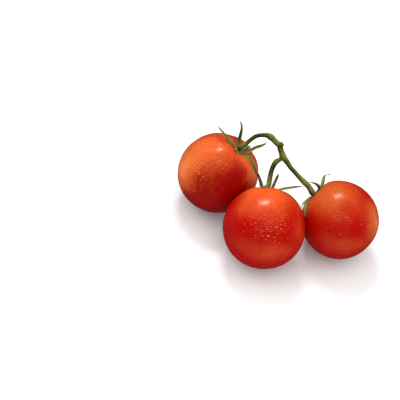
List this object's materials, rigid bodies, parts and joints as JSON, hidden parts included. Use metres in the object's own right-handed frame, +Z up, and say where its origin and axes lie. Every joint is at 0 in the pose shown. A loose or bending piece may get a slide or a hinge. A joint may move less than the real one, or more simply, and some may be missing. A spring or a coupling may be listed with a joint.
{
  "type": "truss of tomatoes",
  "caption": "Ripe round tomatoes joined by one forked green stem, each with a calyx of curling sepals; lies on a table on its fruits.",
  "frame": {"origin": "on the table, under the middle of the box round the truss", "axes": "+X to the right along the longest side, from the left fruit to the right fruit; +Y to the back, away from the front fruit; +Z up from the table"},
  "size_m": [0.1706, 0.1158, 0.08],
  "materials": {
    "tomato_left": "glossy ripe skin",
    "tomato_front": "glossy ripe skin",
    "tomato_right": "glossy ripe skin",
    "calyx_left": "matt, finely haired",
    "calyx_front": "matt, finely haired",
    "calyx_right": "matt, finely haired",
    "stem": "matt, finely haired"
  },
  "bodies": {
    "root": {"tomato_left": "tomato_left", "tomato_front": "tomato_front", "tomato_right": "tomato_right", "calyx_left": "calyx_left", "calyx_front": "calyx_front", "calyx_right": "calyx_right", "stem": "stem"}
  },
  "joints": []
}
